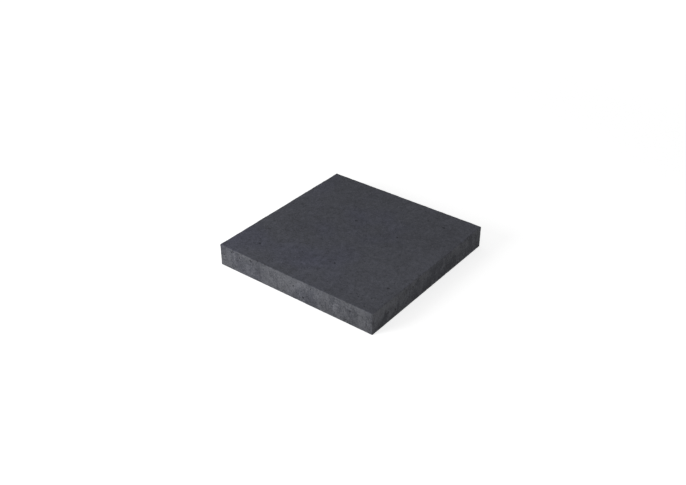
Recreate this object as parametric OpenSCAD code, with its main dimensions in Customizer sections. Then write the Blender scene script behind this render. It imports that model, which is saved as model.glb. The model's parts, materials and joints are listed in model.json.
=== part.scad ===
// Square paving slab of pressed concrete, coloured right through.
//
// The slab is one solid. Its section stays the same all round: an upright side face, a small rounded
// arris up to the walking face, and a fine bevel down to the bedding face. The section is extruded
// along the straight sides and turned through a quarter circle at each corner.
//
// The origin is the middle of the bedding face, and +Z points up to the walking face.

/* [Slab] */
// Length of the slab, along X
slab_length = 400; // [200:10:800]
// Width of the slab, along Y
slab_width = 400; // [200:10:800]
// Thickness, from the bedding face to the walking face
slab_thickness = 50; // [30:1:120]

/* [Edges] */
// Radius of the four upright corners, seen from above
corner_radius = 2; // [2:0.5:12]
// Radius of the arris round the walking face
arris_radius = 1.5; // [0.5:0.25:1.75]
// Leg of the 45 degree bevel round the bedding face
bedding_bevel = 0.5; // [0.25:0.25:1.5]

/* [Hidden] */
$fn = 64;

// Straight stretches of the sides, between the rounded corners
straight_x = slab_length - 2 * corner_radius;
straight_y = slab_width - 2 * corner_radius;
// Height at which the side face turns into the arris
side_top = slab_thickness - arris_radius;

concrete = "#46474d";

// Section of the rim, from the middle of a corner's curve out to the side face
module rim_section() {
  polygon([
    [0, 0],
    [corner_radius - bedding_bevel, 0],
    [corner_radius, bedding_bevel],
    [corner_radius, side_top],
    [corner_radius - arris_radius, slab_thickness],
    [0, slab_thickness]
  ]);
  translate([corner_radius - arris_radius, side_top])
    intersection() {
      circle(arris_radius);
      square(arris_radius);
    }
}

// The rim along one straight side
module side_rim(run) {
  rotate([90, 0, 0])
    linear_extrude(run, center = true)
      rim_section();
}

// The rim round one corner
module corner_rim() {
  rotate_extrude(angle = 90)
    rim_section();
}

// The middle of the slab, inside the rim
module core() {
  translate([-straight_x / 2, -straight_y / 2, 0])
    cube([straight_x, straight_y, slab_thickness]);
}

module slab() {
  color(concrete)
    union() {
      core();
      for (side = [0 : 3]) {
        out = side % 2 == 0 ? straight_x / 2 : straight_y / 2;
        run = side % 2 == 0 ? straight_y : straight_x;
        rotate(90 * side) {
          translate([out, 0, 0]) side_rim(run);
          translate([out, run / 2, 0]) corner_rim();
        }
      }
    }
}

slab();
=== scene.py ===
import json
import math
from collections import namedtuple
from types import SimpleNamespace

import bmesh
import bpy
import numpy as np
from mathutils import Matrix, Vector, geometry, noise


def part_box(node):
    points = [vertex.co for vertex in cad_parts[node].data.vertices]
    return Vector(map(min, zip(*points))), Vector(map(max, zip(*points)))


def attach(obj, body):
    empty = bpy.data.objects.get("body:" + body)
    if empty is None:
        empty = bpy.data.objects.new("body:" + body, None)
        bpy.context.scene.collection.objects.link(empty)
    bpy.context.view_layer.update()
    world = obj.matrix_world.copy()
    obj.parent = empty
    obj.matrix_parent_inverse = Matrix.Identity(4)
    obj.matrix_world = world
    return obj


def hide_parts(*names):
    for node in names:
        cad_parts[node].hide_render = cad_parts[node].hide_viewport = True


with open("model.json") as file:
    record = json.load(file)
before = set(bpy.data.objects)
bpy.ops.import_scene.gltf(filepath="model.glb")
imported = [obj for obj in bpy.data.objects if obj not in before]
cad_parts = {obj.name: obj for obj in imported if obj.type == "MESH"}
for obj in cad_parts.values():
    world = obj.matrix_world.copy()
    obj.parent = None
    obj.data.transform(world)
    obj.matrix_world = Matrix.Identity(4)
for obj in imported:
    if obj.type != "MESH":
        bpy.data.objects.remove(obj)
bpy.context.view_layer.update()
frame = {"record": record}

# A concrete paving slab as one closed mesh. The six faces of its box are meshed flat and welded together.
# The box is then rounded at its edges, sunk a little by relief and pits, and chipped along the edges.

MM = 0.001
SEED = 40
X, Y, Z = np.eye(3)

# ---------------------------------------------------------------------------------------------------
# Sizes
# ---------------------------------------------------------------------------------------------------

slab_low, slab_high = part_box("slab")
LENGTH, WIDTH, THICKNESS = slab_high - slab_low
HALF_LENGTH, HALF_WIDTH = LENGTH / 2, WIDTH / 2

# The rounding of the edges, and how much wear changes an arris from place to place, as a share
CORNER_RADIUS = 2.0 * MM
ARRIS_RADIUS = 1.5 * MM
BEDDING_RADIUS = 0.6 * MM
ARRIS_SPREAD = 0.35
ARRIS_LIMITS = (0.8 * MM, 1.9 * MM)
# The waves of that wear to the metre
BROAD_WEAR = 45
FINE_WEAR = 230

# Spacing of the mesh: along an edge, in the rows beside an edge, and in the open part of a face
EDGE_STEP = 1.25 * MM
RIM_ROWS = np.array([0.0, 0.3, 0.65, 1.0, 1.4, 2.0, 3.0]) * MM
BEDDING_ROWS = np.array([0.0, 0.3, 1.0, 2.0]) * MM
WALKING_STEP = 2.6 * MM
SIDE_STEP = 2.3 * MM
BEDDING_STEP = 4.0 * MM
# The open part: how far it keeps from the rows, and how far its points stray, as shares of the spacing
OPEN_GAP = 0.7
OPEN_SHAKE = 0.28

# Points closer than this are one
SAME_PLACE = 0.01 * MM
# A length too small to matter, which keeps a division from failing
TINY = 1e-12

# ---------------------------------------------------------------------------------------------------
# Pits: open pores that are modelled, with rings of points of their own
# ---------------------------------------------------------------------------------------------------

Pit = namedtuple("Pit", "across up radius depth turn")

# The largest pits: places as shares of the face's half sizes, and radii
WALKING_PITS = (
    (-0.68, -0.72, 2.6 * MM),
    (-0.15, 0.27, 2.8 * MM),
    (0.18, -0.53, 2.4 * MM),
    (0.33, 0.33, 1.5 * MM),
    (0.40, 0.26, 1.8 * MM),
    (0.87, -0.56, 2.8 * MM),
    (-0.01, -0.40, 1.5 * MM),
    (0.69, 0.73, 3.0 * MM),
)
SOUTH_PITS = (
    (-0.83, 0.70, 1.8 * MM),
    (-0.72, 0.50, 1.7 * MM),
    (-0.56, 0.68, 2.2 * MM),
    (0.05, -0.32, 1.4 * MM),
    (0.14, -0.50, 2.1 * MM),
    (0.24, 0.68, 1.5 * MM),
    (0.38, -0.44, 1.6 * MM),
    (0.73, 0.28, 1.9 * MM),
)
EAST_PITS = (
    (-0.62, -0.35, 1.7 * MM),
    (0.12, 0.40, 1.4 * MM),
    (0.55, -0.48, 1.9 * MM),
)

# The small pits: how many a face has, and their least and largest radius
WALKING_SMALL_PITS = (90, 0.6 * MM, 1.2 * MM)
BEDDING_SMALL_PITS = (80, 0.6 * MM, 1.4 * MM)
SIDE_SMALL_PITS = (16, 0.6 * MM, 1.4 * MM)

# Rings of points round a pit, as shares of its radius, with the number of points in each
SMALL_RINGS = ((0.5, 6), (0.95, 9), (1.25, 9))
LARGE_RINGS = ((0.4, 6), (0.75, 10), (0.97, 14), (1.15, 14), (1.5, 12))
LARGE_PIT = 1.2 * MM
# The room that a pit takes up with its rings, in radii
PIT_ROOM = 2

# The waves in a pit's outline: how many go round it, how far each is turned, and its height in radii
PIT_WAVES = ((2, 1, 0.18), (3, 2, 0.12), (5, 3, 0.07))
# The bowl: its least and largest depth and where its lip ends, in radii, and the powers that give it a flat
# floor and a steep wall
PIT_DEPTHS = (0.6, 1.0)
PIT_LIP = 1.08
PIT_FLATNESS = 4
PIT_STEEPNESS = 0.75


def scaled(place, size):
    """Where a place lies across and up a face of that size, from shares of the half sizes."""
    return np.array(place) * size / 2


def make_pit(draw, across, up, radius):
    return Pit(across, up, radius, radius * draw.uniform(*PIT_DEPTHS), draw.uniform(0, math.tau))


def draw_pits(draw, size, main, small):
    """The main pits of a face, and small ones at random places in it."""
    pits = [make_pit(draw, *scaled(place, size), radius) for *place, radius in main]
    count, *radii = small
    for _ in range(count):
        radius = draw.uniform(*radii)
        reach = size / 2 - RIM_ROWS[-1] - PIT_ROOM * radius
        pits.append(make_pit(draw, *draw.uniform(-reach, reach), radius))
    return keep_apart(pits)


def keep_apart(pits):
    """The pits without those that would run into an earlier one."""
    kept = []
    for pit in pits:
        if not any(run_together(pit, other) for other in kept):
            kept.append(pit)
    return kept


def run_together(pit, other):
    away = math.hypot(pit.across - other.across, pit.up - other.up)
    return away <= PIT_ROOM * (pit.radius + other.radius)


def pit_outline(pit, angle):
    """The radius of the pit's uneven outline in that direction."""
    swell = sum(height * np.sin(count * angle + turn * pit.turn) for count, turn, height in PIT_WAVES)
    return pit.radius * (1 + swell)


def pit_points(pit):
    """The pit's middle, and rings of points that carry its bowl and lip."""
    points = [(pit.across, pit.up)]
    for share, count in LARGE_RINGS if pit.radius > LARGE_PIT else SMALL_RINGS:
        angle = np.arange(count) * math.tau / count + pit.turn
        radius = share * pit_outline(pit, angle)
        points += zip(pit.across + radius * np.cos(angle), pit.up + radius * np.sin(angle))
    return np.array(points)


def pit_share(pit, across, up):
    """How deep each place lies in the pit: 1 at the bottom, 0 outside."""
    out_across, out_up = across - pit.across, up - pit.up
    away = np.hypot(out_across, out_up) / pit_outline(pit, np.arctan2(out_up, out_across))
    return np.clip(1 - (away / PIT_LIP) ** PIT_FLATNESS, 0, 1) ** PIT_STEEPNESS


# ---------------------------------------------------------------------------------------------------
# Stains and painted light: soft patches of a darker or paler tone
# ---------------------------------------------------------------------------------------------------

Stain = namedtuple("Stain", "across up reach_across reach_up strength")

# Each row has the place as shares of the face's half sizes, how far the patch reaches across and up, and
# how much it changes the tone
# On the walking face the broad patches are painted light, paler and darker tone where the light falls
# unevenly across it. The two dark spots that sit on pits are painted shade in those pits, and the other rows
# are stains.
WALKING_STAINS_AND_PAINTED_LIGHT = (
    (-0.52, 0.80, 50 * MM, 35 * MM, -0.19),
    (0.15, 0.55, 125 * MM, 80 * MM, -0.13),
    (-0.60, -0.11, 30 * MM, 20 * MM, -0.32),
    (0.12, -0.34, 25 * MM, 25 * MM, -0.26),
    (-0.85, -0.57, 20 * MM, 20 * MM, -0.24),
    (0.90, -0.15, 60 * MM, 100 * MM, 0.17),
    (0.92, 0.85, 40 * MM, 40 * MM, 0.18),
    (-0.20, -0.85, 60 * MM, 30 * MM, 0.12),
    (0.35, -0.36, 20 * MM, 25 * MM, 0.14),
    (-0.85, -0.30, 25 * MM, 18 * MM, 0.16),
    (-0.88, -0.88, 25 * MM, 20 * MM, 0.14),
    (0.10, 0.10, 30 * MM, 20 * MM, -0.14),
    (-0.64, -0.67, 5 * MM, 5 * MM, 0.30),
    (0.63, 0.67, 6 * MM, 6 * MM, 0.40),
    (0.89, -0.62, 5 * MM, 5 * MM, 0.25),
    (0.61, -0.86, 6 * MM, 6 * MM, 0.20),
    (-0.73, -0.30, 6 * MM, 6 * MM, 0.20),
    (0.46, -0.26, 6 * MM, 6 * MM, 0.20),
    (-0.15, 0.27, 5 * MM, 5 * MM, -0.25),
    (0.69, 0.74, 4 * MM, 4 * MM, -0.15),
)
SOUTH_STAINS = (
    (-0.94, 0.80, 10 * MM, 16 * MM, -0.30),
    (-0.85, 0.00, 6 * MM, 24 * MM, 0.16),
    (-0.75, 0.50, 21 * MM, 14 * MM, -0.24),
    (-0.68, -0.50, 20 * MM, 14 * MM, -0.20),
    (-0.53, -0.30, 9 * MM, 16 * MM, 0.28),
    (-0.48, 0.80, 14 * MM, 10 * MM, -0.26),
    (-0.41, 0.25, 9 * MM, 11 * MM, -0.24),
    (-0.36, 0.85, 8 * MM, 8 * MM, 0.26),
    (-0.24, 0.45, 12 * MM, 18 * MM, 0.30),
    (-0.13, 0.00, 6 * MM, 26 * MM, -0.12),
    (0.01, 0.60, 18 * MM, 16 * MM, 0.20),
    (0.10, -0.10, 8 * MM, 16 * MM, 0.12),
    (0.22, -0.50, 13 * MM, 9 * MM, -0.16),
    (0.25, 0.65, 24 * MM, 10 * MM, 0.28),
    (0.38, -0.40, 10 * MM, 12 * MM, -0.16),
    (0.43, 0.85, 8 * MM, 8 * MM, -0.16),
    (0.57, 0.10, 12 * MM, 26 * MM, 0.38),
    (0.68, -0.10, 8 * MM, 16 * MM, -0.28),
    (0.74, 0.90, 16 * MM, 8 * MM, 0.26),
    (0.78, 0.15, 12 * MM, 16 * MM, -0.20),
    (0.84, 0.40, 8 * MM, 14 * MM, 0.20),
    (0.93, 0.10, 7 * MM, 20 * MM, -0.10),
)
EAST_STAINS = (
    (-0.95, 0.75, 14 * MM, 18 * MM, 0.42),
    (-0.83, -0.40, 14 * MM, 12 * MM, -0.34),
    (-0.70, 0.55, 34 * MM, 14 * MM, 0.36),
    (-0.58, -0.50, 16 * MM, 10 * MM, -0.22),
    (-0.39, -0.20, 11 * MM, 22 * MM, 0.28),
    (-0.19, 0.85, 10 * MM, 8 * MM, 0.20),
    (-0.05, 0.60, 10 * MM, 12 * MM, -0.28),
    (0.09, -0.30, 22 * MM, 20 * MM, -0.38),
    (0.24, 0.50, 13 * MM, 14 * MM, 0.32),
    (0.38, -0.25, 18 * MM, 22 * MM, -0.42),
    (0.51, -0.60, 10 * MM, 10 * MM, -0.38),
    (0.58, 0.80, 9 * MM, 9 * MM, -0.34),
    (0.74, 0.60, 12 * MM, 14 * MM, 0.20),
    (0.84, 0.00, 9 * MM, 22 * MM, 0.32),
    (0.93, 0.60, 9 * MM, 14 * MM, -0.30),
)

# The random stains: how many a face has, and the most that one darkens it
WALKING_RANDOM_STAINS = (25, 0.10)
BEDDING_RANDOM_STAINS = (25, 0.20)
SIDE_RANDOM_STAINS = (8, 0.20)
# How near the borders they come, their least and largest reach, and how much weaker the pale ones are
RANDOM_PLACES = (-0.95, 0.95)
RANDOM_REACH = (8 * MM, 26 * MM)
PALE_SHARE = 0.6

# How far a patch's outline strays, and in how many waves to the metre
PATCH_SHAKE = 7 * MM
SHAKE_WAVES = 60
# The waves of a face's mottling, and of the upright streaks in it: how many to the metre, in how many sizes
MOTTLING_WAVES = (30, 5)
MOTTLING_STREAKS = (np.array([110, 110, 36]), 3)
STREAKS_SHARE = 0.5


def draw_stains(draw, count, strength):
    """Rows for stains at random places."""
    rows = []
    for _ in range(count):
        place = draw.uniform(*RANDOM_PLACES, 2)
        reach = draw.uniform(*RANDOM_REACH, 2)
        rows.append((*place, *reach, draw.uniform(-strength, PALE_SHARE * strength)))
    return rows


def make_tone_patches(size, rows):
    return [Stain(*scaled(row[:2], size), *row[2:]) for row in rows]


def tone_patch_strength(stains, across, up):
    """How much the stains and the painted light change the tone at each place."""
    total = np.zeros(len(across))
    for stain in stains:
        away = ((across - stain.across) / stain.reach_across) ** 2 + ((up - stain.up) / stain.reach_up) ** 2
        total += stain.strength * np.exp(-away)
    return total


# ---------------------------------------------------------------------------------------------------
# The faces of the box, each meshed flat
# ---------------------------------------------------------------------------------------------------

# A face's own plane runs across and up as seen from outside. The rows run beside its left and right, its
# lower and its upper borders, and the ends are the rows that cross its left and right borders. The waves
# are its extra relief, and the mottling is how much its tone varies.
Face = namedtuple("Face", "centre across up size rows ends step waves pits stains mottling chart")

# Relief: the height of the waves, how many there are to the metre, and how many finer layers they have
BROAD_WAVES = (0.05 * MM, 10, 3)
NARROW_WAVES = (0.03 * MM, 45, 3)
SAND_WAVES = (0.045 * MM, 190, 2)
BEDDING_WAVES = (0.06 * MM, 80, 3)
SIDE_STREAKS = (0.05 * MM, np.array([150, 150, 14]), 3)
SIDE_WAVES = (0.10 * MM, 120, 3)

# Places of the faces in the texture map: lower and upper corners
MAP_GAP = 0.005
SIDE_BAND = 0.085
WALKING_CHART = ((0.0, 4 * SIDE_BAND), (0.66, 1.0))
BEDDING_CHART = ((0.66, 4 * SIDE_BAND), (1.0, 1.0))


def slab_faces(draw):
    return [walking_face(draw), bedding_face(draw), *side_faces(draw)]


def walking_face(draw):
    size = np.array([LENGTH, WIDTH])
    pits = draw_pits(draw, size, WALKING_PITS, WALKING_SMALL_PITS)
    stains = make_tone_patches(size, (*WALKING_STAINS_AND_PAINTED_LIGHT, *draw_stains(draw, *WALKING_RANDOM_STAINS)))
    return Face(
        centre=Z * THICKNESS, across=X, up=Y, size=size,
        rows=(RIM_ROWS, RIM_ROWS, RIM_ROWS), ends=(RIM_ROWS, RIM_ROWS), step=WALKING_STEP,
        waves=(), pits=pits, stains=stains, mottling=0.0, chart=WALKING_CHART,
    )


def bedding_face(draw):
    size = np.array([LENGTH, WIDTH])
    pits = draw_pits(draw, size, (), BEDDING_SMALL_PITS)
    stains = make_tone_patches(size, draw_stains(draw, *BEDDING_RANDOM_STAINS))
    return Face(
        centre=Z * 0, across=-X, up=Y, size=size,
        rows=(BEDDING_ROWS, BEDDING_ROWS, BEDDING_ROWS), ends=(RIM_ROWS, RIM_ROWS), step=BEDDING_STEP,
        waves=(BEDDING_WAVES,), pits=pits, stains=stains, mottling=0.05, chart=BEDDING_CHART,
    )


def side_faces(draw):
    """The south, east, north and west faces, in bands of the texture map."""
    sides = [
        (-Y * HALF_WIDTH, X, LENGTH, SOUTH_PITS, SOUTH_STAINS, 0.0),
        (X * HALF_LENGTH, Y, WIDTH, EAST_PITS, EAST_STAINS, 0.21),
        (Y * HALF_WIDTH, -X, LENGTH, (), draw_stains(draw, *SIDE_RANDOM_STAINS), 0.05),
        (-X * HALF_LENGTH, -Y, WIDTH, (), draw_stains(draw, *SIDE_RANDOM_STAINS), 0.05),
    ]
    faces = []
    for band, (out, across, run, main_pits, stains, mottling) in enumerate(sides):
        size = np.array([run, THICKNESS])
        faces.append(Face(
            centre=out + Z * THICKNESS / 2, across=across, up=Z, size=size,
            rows=(RIM_ROWS, BEDDING_ROWS, RIM_ROWS), ends=(BEDDING_ROWS, RIM_ROWS), step=SIDE_STEP,
            waves=(SIDE_STREAKS, SIDE_WAVES), pits=draw_pits(draw, size, main_pits, SIDE_SMALL_PITS),
            stains=make_tone_patches(size, stains), mottling=mottling,
            chart=((0.0, band * SIDE_BAND), (1.0, (band + 1) * SIDE_BAND)),
        ))
    return faces


def edge_places(length, low_rows, high_rows):
    """Places along an edge: the rows that cross it near both ends, and even steps between them."""
    low = -length / 2 + low_rows
    high = length / 2 - high_rows[::-1]
    count = round((high[0] - low[-1]) / EDGE_STEP)
    between = np.linspace(low[-1], high[0], count + 1)[1:-1]
    return np.concatenate([low, between, high])


def crossed(first, second):
    """Every pair of a place across and a place up."""
    return np.stack(np.meshgrid(first, second), -1).reshape(-1, 2)


def rim_points(face):
    """The rows of points beside the four borders."""
    beside, lower, upper = face.rows
    half_across, half_up = face.size / 2
    along_across = edge_places(face.size[0], RIM_ROWS, RIM_ROWS)
    along_up = edge_places(face.size[1], *face.ends)
    columns = np.concatenate([-half_across + beside, half_across - beside])
    rows = np.concatenate([-half_up + lower, half_up - upper])
    points = np.concatenate([crossed(along_across, rows), crossed(columns, along_up)])
    return np.unique(np.round(points, 8), axis=0)


def open_points(face, draw):
    """An uneven grid of points inside the rows, left open where the pits are."""
    beside, lower, upper = (rows[-1] for rows in face.rows)
    low = np.array([beside, lower]) - face.size / 2 + OPEN_GAP * face.step
    high = face.size / 2 - np.array([beside, upper]) - OPEN_GAP * face.step
    counts = np.round((high - low) / face.step).astype(int) + 1
    points = crossed(*map(np.linspace, low, high, counts))
    points += draw.uniform(-OPEN_SHAKE, OPEN_SHAKE, points.shape) * face.step
    for pit in face.pits:
        away = np.hypot(points[:, 0] - pit.across, points[:, 1] - pit.up)
        points = points[away > PIT_ROOM * pit.radius]
    return points


def face_mesh(face, draw):
    """The corners of the face's triangles, its points in the frame, and their places in the texture map."""
    points = np.concatenate([rim_points(face), open_points(face, draw), *map(pit_points, face.pits)])
    made = geometry.delaunay_2d_cdt([Vector(p) for p in points], [], [], 0, 1e-9)
    flat = np.array([tuple(p) for p in made[0]])
    places = face.centre + flat[:, :1] * face.across + flat[:, 1:] * face.up
    low, high = np.array(face.chart) + [[MAP_GAP], [-MAP_GAP]]
    chart = low + (flat / face.size + 0.5) * (high - low)
    return np.array(made[2]), places, chart


def box_mesh(faces, draw):
    """The six faces, welded into one closed mesh with its texture map."""
    corners, places, charts = [], [], []
    for face in faces:
        triangles, points, chart = face_mesh(face, draw)
        corners.append(triangles + sum(map(len, places)))
        places.append(points)
        charts.append(chart)
    corners, places, charts = (np.concatenate(part) for part in (corners, places, charts))
    mesh = bpy.data.meshes.new("slab_dressed")
    mesh.from_pydata(places, [], corners)
    layer = mesh.uv_layers.new(name="OFBake")
    layer.uv.foreach_set("vector", charts[corners.ravel()].ravel())
    weld(mesh)
    return mesh


def weld(mesh):
    work = bmesh.new()
    work.from_mesh(mesh)
    bmesh.ops.remove_doubles(work, verts=work.verts, dist=SAME_PLACE)
    work.to_mesh(mesh)
    work.free()


def read_points(mesh, name="co"):
    values = np.empty(len(mesh.vertices) * 3, np.float32)
    mesh.vertices.foreach_get(name, values)
    return values.reshape(-1, 3).astype(float)


def write_points(mesh, places):
    mesh.vertices.foreach_set("co", places.astype(np.float32).ravel())
    mesh.update()


# ---------------------------------------------------------------------------------------------------
# Rounded edges, relief, pits and nicks
# ---------------------------------------------------------------------------------------------------

# Nicks to the metre along each kind of edge, and the stretch of the edge that they keep to
ARRIS_NICKS = 130
BEDDING_NICKS = 120
CORNER_NICKS = 140
NICKED_STRETCH = (0.01, 0.99)
# Their least depth, the mean of what is added to it, their largest depth, and their widths in depths
NICK_DEPTH = 0.07 * MM
NICK_EXTRA = 0.10 * MM
NICK_LIMIT = 0.8 * MM
NICK_WIDTHS = (5, 9)
# How far the rounding lies inside the sharp edge, in arris radii, how uneven a nick is, in depths and in
# waves to the metre, and the depth at which it has its full tone
ROUNDING_INSET = 0.4
NICK_SHAKE = 0.6
NICK_WAVES = (700, 2)
NICK_TONE_DEPTH = 0.3 * MM


def fractal(places, scale, octaves=3):
    """Noise from about -1 to 1 at each place; the scale is one number or one for each axis."""
    return np.array([2 * noise.fractal(Vector(p), 1.0, 2.0, octaves) for p in places * scale])


def waves(places, height, scale, octaves):
    """Depths from about 0 to twice the height."""
    return height * (1 + fractal(places, scale, octaves))


def lengths(offset):
    return np.maximum(np.linalg.norm(offset, axis=1), TINY)


def bent(offset):
    """The offsets with squares turned into circles: each gets the length of the larger of its two parts."""
    return offset * (np.abs(offset).max(axis=1) / lengths(offset))[:, None]


def worn_arris(places):
    """The radius of the arris round the walking face, at each place."""
    wear = fractal(places, BROAD_WEAR) + 0.5 * fractal(places, FINE_WEAR)
    return np.clip(ARRIS_RADIUS * (1 + ARRIS_SPREAD * wear), *ARRIS_LIMITS)


def rounded(places):
    """The sharp box's points, moved onto its rounded upright corners, arrises and bedding edges."""
    half = np.array([HALF_LENGTH, HALF_WIDTH])
    inner = np.clip(places[:, :2], CORNER_RADIUS - half, half - CORNER_RADIUS)
    offset = places[:, :2] - inner
    outward = offset / lengths(offset)[:, None]
    inset = CORNER_RADIUS - np.abs(offset).max(axis=1)
    height = places[:, 2]
    arris = turned_edge(worn_arris(places), inset, THICKNESS - height)
    bedding = turned_edge(BEDDING_RADIUS, inset, height)
    plan = inner + bent(offset) + outward * (arris + bedding)[:, :1]
    return np.column_stack([plan, height + arris[:, 1] - bedding[:, 1]])


def turned_edge(radius, inset, depth):
    """The moves, outwards and towards the flat face, that round a level edge. They are 0 or less."""
    over = np.stack([radius - inset, radius - depth], -1).clip(0)
    both = over.min(axis=1) > 0
    return np.where(both[:, None], bent(over) - over, 0)


def on_face(face, places):
    """The numbers of the sharp box's points that lie on the face, and where they lie across and up it."""
    out = places - face.centre
    on = np.flatnonzero(np.abs(out @ np.cross(face.across, face.up)) < SAME_PLACE)
    return on, out[on] @ face.across, out[on] @ face.up


def relief(sharp, faces):
    """How far the surface lies below its highest places, without pits and nicks."""
    level = sum(waves(sharp, *kind) for kind in (BROAD_WAVES, NARROW_WAVES, SAND_WAVES))
    for face in faces:
        on, _, _ = on_face(face, sharp)
        for kind in face.waves:
            level[on] += waves(sharp[on], *kind)
    return level.clip(0)


def hollows(sharp, faces):
    """How deep each point lies in a pit: as a length, and as a share of the pit's depth."""
    depth, share = np.zeros(len(sharp)), np.zeros(len(sharp))
    for face in faces:
        on, across, up = on_face(face, sharp)
        for pit in face.pits:
            near = np.hypot(across - pit.across, up - pit.up) < PIT_ROOM * pit.radius
            part = pit_share(pit, across[near], up[near])
            depth[on[near]] += pit.depth * part
            share[on[near]] += part
    return depth, share


def stained_and_painted_light(sharp, faces):
    """How much the stains, the painted light of the walking face and the mottling change the tone at each
    point, with uneven outlines.
    """
    change = np.zeros(len(sharp))
    for face in faces:
        on, across, up = on_face(face, sharp)
        shake = PATCH_SHAKE * fractal(sharp[on], SHAKE_WAVES)
        change[on] += tone_patch_strength(face.stains, across + shake, up + shake)
        streaks = STREAKS_SHARE * fractal(sharp[on], *MOTTLING_STREAKS)
        change[on] += face.mottling * (fractal(sharp[on], *MOTTLING_WAVES) + streaks)
    return change


def slab_edges():
    """Each edge's two ends, the way out from it, and how many nicks it has to the metre."""
    corners = np.array([[-1, -1], [1, -1], [1, 1], [-1, 1]]) * [HALF_LENGTH, HALF_WIDTH]
    edges = []
    for start, end in zip(corners, np.roll(corners, -1, axis=0)):
        out = (start + end) / np.linalg.norm(start + end)
        for height, up, count in ((THICKNESS, 1, ARRIS_NICKS), (0, -1, BEDDING_NICKS)):
            edges.append(((*start, height), (*end, height), (*out, up), count))
        edges.append(((*start, 0), (*start, THICKNESS), (*np.sign(start), 0), CORNER_NICKS))
    return [(np.array(a), np.array(b), np.array(out) / math.sqrt(2), count) for a, b, out, count in edges]


def knock_nicks(places, draw):
    """Chips the edges, and returns how far each point went."""
    before = places.copy()
    for start, end, out, count in slab_edges():
        for _ in range(int(count * np.linalg.norm(end - start))):
            spot = start + (end - start) * draw.uniform(*NICKED_STRETCH)
            depth = min(NICK_DEPTH + draw.exponential(NICK_EXTRA), NICK_LIMIT)
            width = depth * draw.uniform(*NICK_WIDTHS)
            nick(places, spot - out * ROUNDING_INSET * ARRIS_RADIUS, out, width, depth)
    return np.linalg.norm(places - before, axis=1)


def nick(places, spot, out, width, depth):
    """Takes an uneven bite of that width and depth out of the edge at the spot."""
    radius = (width**2 / 4 + depth**2) / (2 * depth)
    centre = spot + out * (radius - depth)
    near = np.flatnonzero(np.abs(places - spot).max(axis=1) < width)
    away = places[near] - centre
    length = np.linalg.norm(away, axis=1)
    edge = radius + NICK_SHAKE * depth * fractal(places[near], *NICK_WAVES)
    places[near] += away * ((edge - length).clip(0) / length)[:, None]


def write_attribute(mesh, name, values):
    mesh.attributes.new(name, "FLOAT", "POINT").data.foreach_set("value", values.astype(np.float32))


def make_slab():
    draw = np.random.default_rng(SEED)
    faces = slab_faces(draw)
    mesh = box_mesh(faces, draw)
    sharp = read_points(mesh)
    write_points(mesh, rounded(sharp))
    places, normals = read_points(mesh), read_points(mesh, "normal")
    depth, share = hollows(sharp, faces)
    places -= normals * (relief(sharp, faces) + depth)[:, None]
    moved = knock_nicks(places, draw)
    write_points(mesh, places)
    mesh.shade_smooth()
    # Painted shade in the pits: how deep each point lies in one, as a share of its depth
    write_attribute(mesh, "hollow", share.clip(0, 1))
    write_attribute(mesh, "nicked", (moved / NICK_TONE_DEPTH).clip(0, 1))
    # Stains, and the painted light of the walking face, as a change of tone
    write_attribute(mesh, "stain", stained_and_painted_light(sharp, faces))
    slab = bpy.data.objects.new("slab_dressed", mesh)
    bpy.context.scene.collection.objects.link(slab)
    return slab


# ---------------------------------------------------------------------------------------------------
# Shader nodes
# ---------------------------------------------------------------------------------------------------


def new_material(name):
    material = bpy.data.materials.new(name)
    material.use_nodes = True
    tree = material.node_tree
    tree.nodes.clear()
    return material, tree


def add(tree, kind, inputs=(), **settings):
    """A new node with its settings. Its inputs are values or other nodes' outputs, by name or number."""
    node = tree.nodes.new(kind)
    for name, value in settings.items():
        setattr(node, name, value)
    for name, value in dict(inputs).items():
        if isinstance(value, bpy.types.NodeSocket):
            tree.links.new(value, node.inputs[name])
        else:
            node.inputs[name].default_value = value
    return node


def maths(tree, operation, *values):
    return add(tree, "ShaderNodeMath", enumerate(values), operation=operation).outputs[0]


def vector_maths(tree, operation, *values):
    return add(tree, "ShaderNodeVectorMath", enumerate(values), operation=operation).outputs[0]


def product(tree, first, second):
    return maths(tree, "MULTIPLY", first, second)


def weighted(tree, start, *terms):
    """start plus each term's value times its weight."""
    total = start
    for value, weight in terms:
        total = maths(tree, "MULTIPLY_ADD", value, weight, total)
    return total


def ramp(tree, value, low, high, to_low=0.0, to_high=1.0):
    """The value's place between low and high, smoothed, as a number from to_low to to_high."""
    inputs = {"Value": value, "From Min": low, "From Max": high, "To Min": to_low, "To Max": to_high}
    node = add(tree, "ShaderNodeMapRange", inputs, interpolation_type="SMOOTHSTEP")
    return node.outputs["Result"]


def attribute(tree, name):
    return add(tree, "ShaderNodeAttribute", attribute_name=name).outputs["Fac"]


def part_of(tree, vector, axis):
    return add(tree, "ShaderNodeSeparateXYZ", {0: vector}).outputs[axis]


def shaken(tree, place, scale, reach):
    """The places, each moved a little, so that what is drawn there gets uneven outlines."""
    shake = add(tree, "ShaderNodeTexNoise", {"Vector": place, "Scale": scale, "Detail": 1.0})
    centred = vector_maths(tree, "SUBTRACT", shake.outputs["Color"], (0.5, 0.5, 0.5))
    return vector_maths(tree, "MULTIPLY_ADD", centred, (reach, reach, reach), place)


def grain(tree, place, scale, detail=3.0, rough=0.55, stretch=(1, 1, 1), shift=(0, 0, 0)):
    """Noise around 0, from about -0.5 to 0.5. A small number in stretch draws it out along that axis."""
    there = vector_maths(tree, "MULTIPLY_ADD", place, stretch, shift)
    inputs = {"Vector": there, "Scale": scale, "Detail": detail, "Roughness": rough}
    value = add(tree, "ShaderNodeTexNoise", inputs).outputs["Fac"]
    return maths(tree, "SUBTRACT", value, 0.5)


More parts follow.
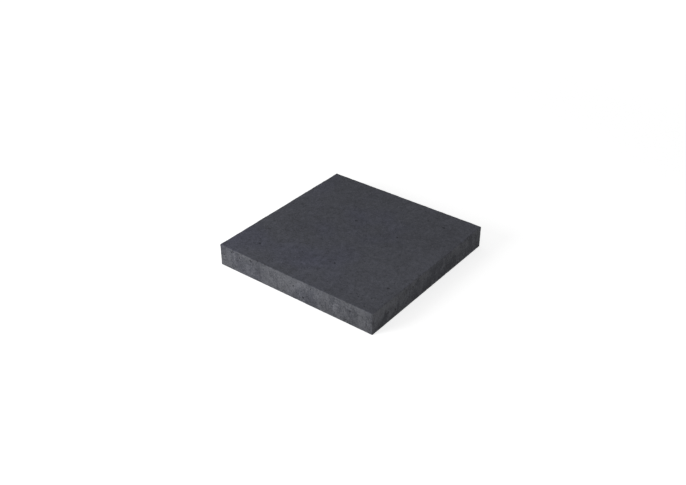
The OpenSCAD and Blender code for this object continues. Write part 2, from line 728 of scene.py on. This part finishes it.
def grains(tree, place, scale):
    """Packed grains: each one's own tone from -0.5 to 0.5, and its dome, from 0 at the rim to 1."""
    cells = add(tree, "ShaderNodeTexVoronoi", {"Vector": place, "Scale": scale})
    tone = add(tree, "ShaderNodeSeparateColor", {0: cells.outputs["Color"]}).outputs[2]
    return maths(tree, "SUBTRACT", tone, 0.5), ramp(tree, cells.outputs["Distance"], 0.65, 0.1)


def specks(tree, place, scale, share, radius):
    """Scattered round specks, 1 inside and 0 outside, in that share of the cells. The radius is in cells."""
    cells = add(tree, "ShaderNodeTexVoronoi", {"Vector": place, "Scale": scale})
    chance = add(tree, "ShaderNodeSeparateColor", {0: cells.outputs["Color"]})
    size = maths(tree, "MULTIPLY_ADD", chance.outputs[1], 0.6 * radius, 0.4 * radius)
    inside = ramp(tree, maths(tree, "DIVIDE", cells.outputs["Distance"], size), 1.1, 0.75)
    held = maths(tree, "LESS_THAN", chance.outputs[0], share)
    return product(tree, inside, held)


# ---------------------------------------------------------------------------------------------------
# Concrete: dark cement and fine sand, with open pores, and a paler, streaky skin on the sides
# ---------------------------------------------------------------------------------------------------

# The colour of the pale skin on the sides, and shifts that set where its patches and the bluish ones lie
SKIN_COLOUR = (0.098, 0.100, 0.112)
SKIN_SHIFT = (1.5, 0, 0.7)
TINT_SHIFT = (0, 2.05, 0)

# The tone of the deepest pores with their painted shade, as a share of the cement's, and the depth of the
# relief that is bump
DARKEST = 0.2
BUMP_DEPTH = 0.22 * MM
ROUGHNESS = 0.86


def read_surface(tree):
    """What is at each place, by name. Masks and spots run from 0 to 1, and noise from -0.5 to 0.5."""
    coords = add(tree, "ShaderNodeTexCoord")
    here = SimpleNamespace(place=coords.outputs["Object"])
    add_faces(tree, here, coords.outputs["Normal"])
    add_grain(tree, here)
    add_skin(tree, here)
    add_pores(tree, here)
    return here


def add_faces(tree, here, normal):
    """Masks of the side faces, the flat faces and the bedding face, and painted shade that darkens the sides
    towards the floor.
    """
    upright = part_of(tree, normal, "Z")
    here.side = ramp(tree, maths(tree, "ABSOLUTE", upright), 0.85, 0.45)
    here.flat = maths(tree, "SUBTRACT", 1.0, here.side)
    here.bedding = ramp(tree, upright, -0.6, -0.9)
    # Painted shade: the sides darker towards the floor
    here.foot = product(tree, ramp(tree, part_of(tree, here.place, "Z"), THICKNESS, 0.0), here.side)


def add_grain(tree, here):
    """Variation of the cement from broad to fine, and grains of sand and dust."""
    here.uneven = shaken(tree, here.place, 900, 1.1 * MM)
    here.clouds = grain(tree, here.place, 9)
    here.blotches = grain(tree, here.place, 70, 4)
    here.coarse = grain(tree, here.place, 230, 3, 0.7)
    here.side_coarse = product(tree, here.coarse, here.side)
    here.flat_coarse = product(tree, grain(tree, here.place, 130, 4, 0.65), here.flat)
    here.lumps = product(tree, grain(tree, here.place, 170, 3, 0.6), here.bedding)
    here.sand, here.sand_dome = grains(tree, here.uneven, 640)
    here.dust, here.dust_dome = grains(tree, here.uneven, 1500)


def add_skin(tree, here):
    """The stains and the painted light of the walking face, the upright streaks of the sides, and where
    their pale skin is on and where it is off.
    """
    here.stain = attribute(tree, "stain")
    streaks = grain(tree, here.place, 110, 3, stretch=(1, 1, 0.15))
    here.streaks = product(tree, streaks, here.side)
    patches = grain(tree, here.place, 34, 4, 0.53, stretch=(1, 1, 0.6), shift=SKIN_SHIFT)
    skin = weighted(tree, patches, (streaks, 0.10), (here.coarse, 0.65), (here.stain, 0.45))
    here.skin = product(tree, ramp(tree, skin, -0.16, 0.11), here.side)
    here.bare = maths(tree, "SUBTRACT", here.side, here.skin)


def add_pores(tree, here):
    """The modelled pits and nicks, and the pores that are too fine to model; the pits and pores carry
    painted shade.
    """
    here.hollow = attribute(tree, "hollow")
    here.nicked = attribute(tree, "nicked")
    here.pores = specks(tree, here.uneven, 300, 0.5, 0.18)
    here.voids = ramp(tree, grain(tree, here.place, 330, 3, 0.65), -0.10, -0.18)
    here.side_pores = product(tree, specks(tree, here.uneven, 130, 0.55, 0.17), here.side)
    here.gaps = product(tree, specks(tree, here.uneven, 230, 0.6, 0.26), here.bare)


def cement_colour(tree, here):
    """The record's dark grey, the skin on the sides, and a bluish cast in soft patches."""
    plain = frame["record"]["materials"][0]["base_color"]
    colours = {0: here.skin, 6: (*plain, 1), 7: (*SKIN_COLOUR, 1)}
    cement = add(tree, "ShaderNodeMix", colours, data_type="RGBA").outputs[2]
    patches = grain(tree, here.place, 5, 2, shift=TINT_SHIFT)
    tint = product(tree, ramp(tree, patches, 0.0, 0.2), ramp(tree, here.side, 0.0, 1.0, 0.13, 0.04))
    blue = weighted(tree, 0.985, (tint, 1.0), (here.bare, -0.04), (here.side, 0.005))
    cast = add(tree, "ShaderNodeCombineXYZ", {0: 1.0, 1: 1.0, 2: blue}).outputs[0]
    return vector_maths(tree, "MULTIPLY", cement, cast)


def concrete_tone(tree, here):
    """How pale each place is, as a share of the cement's own colour, with painted shade in the pits and
    pores and low on the sides.
    """
    tone = weighted(
        tree, 1.03,
        (here.clouds, 0.40), (here.blotches, 0.80), (here.coarse, 1.25), (here.flat_coarse, 0.80),
        (here.sand, 0.42), (here.dust, 0.25), (here.lumps, 1.60),
        # The foot term is painted shade, the sides darker towards the floor
        (here.side, 0.145), (here.bedding, 0.12), (here.foot, -0.10),
        # The stain term holds the stains and the painted light of the walking face
        (here.streaks, 0.18), (here.stain, 0.45),
        # Painted shade in the pores, voids and gaps
        (here.pores, -0.60), (here.voids, -0.50), (here.side_pores, -0.55), (here.gaps, -0.50),
        # Painted shade in the modelled pits; the nicks are paler
        (here.hollow, -0.65), (here.nicked, 0.06),
    )
    return maths(tree, "MAXIMUM", tone, DARKEST)


def concrete_height(tree, here):
    """The relief that is too fine to model, in bump depths."""
    return weighted(
        tree, 0.0,
        (here.coarse, 1.0), (here.side_coarse, 1.5), (here.lumps, 5.0), (here.skin, 0.35),
        (here.sand, 0.2), (here.sand_dome, 0.35), (here.dust_dome, 0.15),
        (here.pores, -2.0), (here.voids, -1.4), (here.side_pores, -3.5), (here.gaps, -3.0),
    )


def concrete():
    material, tree = new_material("concrete")
    here = read_surface(tree)
    shades = {0: cement_colour(tree, here), "Scale": concrete_tone(tree, here)}
    colour = add(tree, "ShaderNodeVectorMath", shades, operation="SCALE").outputs[0]
    roughness = weighted(tree, ROUGHNESS, (here.sand, 0.10), (here.blotches, 0.15))
    heights = {"Strength": 1.0, "Distance": BUMP_DEPTH, "Height": concrete_height(tree, here)}
    bump = add(tree, "ShaderNodeBump", heights).outputs[0]
    shader = add(tree, "ShaderNodeBsdfPrincipled", {
        "Base Color": colour,
        "Roughness": roughness,
        "Normal": bump,
        "IOR": 1.45,
        "Specular IOR Level": 0.3,
    })
    add(tree, "ShaderNodeOutputMaterial", {"Surface": shader.outputs[0]})
    return material


# ---------------------------------------------------------------------------------------------------
# Floor, light and camera
# ---------------------------------------------------------------------------------------------------

# The floor: the light that it gives back, the glow that lifts it to white, near the slab and far off, and
# where near ends and far begins
FLOOR_COLOUR = 0.6
FLOOR_LIFT = (0.72, 0.8)
FLOOR_REACH = (2 * LENGTH, 6 * LENGTH)
FLOOR_SIZE = 30 * LENGTH
FLOOR_DROP = 0.2 * MM
SKY_STRENGTH = 0.4

# The round softbox: where it stands as seen from the slab, its size and its power in watts
KEY_AZIMUTH = -25
KEY_ELEVATION = 22
KEY_DISTANCE = 1.5
KEY_SIZE = 0.9
KEY_POWER = 15.5

CAMERA_AZIMUTH = 37.79
CAMERA_ELEVATION = 32.57
CAMERA_DISTANCE = 2.037
CAMERA_LENS = 48.23
CAMERA_AIM = (-0.0468, 0.0267)


def seen_as_background(tree):
    """1 where the camera, or a mirror or glass, looks at the surface; 0 for the light that it gives back."""
    path = add(tree, "ShaderNodeLightPath")
    seen = maths(tree, "MAXIMUM", path.outputs["Is Camera Ray"], path.outputs["Is Glossy Ray"])
    return maths(tree, "MAXIMUM", seen, path.outputs["Is Transmission Ray"])


def floor_material():
    """Pale matt floor that reads as white and keeps a light shadow. From below it is clear."""
    material, tree = new_material("floor")
    matt = add(tree, "ShaderNodeBsdfDiffuse", {"Color": (*[FLOOR_COLOUR] * 3, 1)})
    place = add(tree, "ShaderNodeTexCoord").outputs["Object"]
    away = add(tree, "ShaderNodeVectorMath", {0: place}, operation="LENGTH").outputs["Value"]
    lift = ramp(tree, away, *FLOOR_REACH, *FLOOR_LIFT)
    glow = add(tree, "ShaderNodeEmission", {"Strength": product(tree, seen_as_background(tree), lift)})
    pale = add(tree, "ShaderNodeAddShader", {0: matt.outputs[0], 1: glow.outputs[0]})
    clear = add(tree, "ShaderNodeBsdfTransparent")
    below = add(tree, "ShaderNodeNewGeometry").outputs["Backfacing"]
    both = add(tree, "ShaderNodeMixShader", {0: below, 1: pale.outputs[0], 2: clear.outputs[0]})
    add(tree, "ShaderNodeOutputMaterial", {"Surface": both.outputs[0]})
    return material


def make_floor():
    half = FLOOR_SIZE / 2
    z = slab_low.z - FLOOR_DROP
    corners = [(x * half, y * half, z) for x, y in ((-1, -1), (1, -1), (1, 1), (-1, 1))]
    mesh = bpy.data.meshes.new("floor")
    mesh.from_pydata(corners, [], [(0, 1, 2, 3)])
    mesh.materials.append(floor_material())
    floor = bpy.data.objects.new("floor", mesh)
    bpy.context.scene.collection.objects.link(floor)


def away_from_slab(azimuth, elevation):
    """The direction from the slab to a place. Azimuth 0 is in front, at -Y, and 90 is at +X."""
    a, e = math.radians(azimuth), math.radians(elevation)
    return Vector((math.sin(a) * math.cos(e), -math.cos(a) * math.cos(e), math.sin(e)))


def point_at(obj, aim, out, distance):
    """Puts the object that far out from the aim, looking back at it."""
    obj.location = aim + out * distance
    obj.rotation_euler = out.to_track_quat("Z", "Y").to_euler()
    bpy.context.scene.collection.objects.link(obj)


def make_softbox():
    lamp = bpy.data.lights.new("softbox", "AREA")
    lamp.shape = "DISK"
    lamp.size = KEY_SIZE
    lamp.energy = KEY_POWER
    softbox = bpy.data.objects.new("softbox", lamp)
    middle = Vector((0, 0, THICKNESS / 2))
    point_at(softbox, middle, away_from_slab(KEY_AZIMUTH, KEY_ELEVATION), KEY_DISTANCE)


def make_sky():
    """Soft light from all round, seen as white."""
    world = bpy.data.worlds.new("sky")
    world.use_nodes = True
    tree = world.node_tree
    tree.nodes.clear()
    strength = maths(tree, "MULTIPLY_ADD", seen_as_background(tree), 1 - SKY_STRENGTH, SKY_STRENGTH)
    sky = add(tree, "ShaderNodeBackground", {"Color": (1, 1, 1, 1), "Strength": strength})
    add(tree, "ShaderNodeOutputWorld", {"Surface": sky.outputs[0]})
    bpy.context.scene.world = world


def make_camera():
    camera = bpy.data.objects.new("camera", bpy.data.cameras.new("camera"))
    camera.data.lens = CAMERA_LENS
    aim = Vector((*CAMERA_AIM, slab_low.z))
    point_at(camera, aim, away_from_slab(CAMERA_AZIMUTH, CAMERA_ELEVATION), CAMERA_DISTANCE)
    bpy.context.scene.camera = camera


# ---------------------------------------------------------------------------------------------------
# The scene
# ---------------------------------------------------------------------------------------------------

bpy.context.scene.view_settings.view_transform = "Standard"
make_camera()
make_softbox()
make_sky()
make_floor()

slab = make_slab()
slab.data.materials.append(concrete())
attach(slab, "root")
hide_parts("slab")
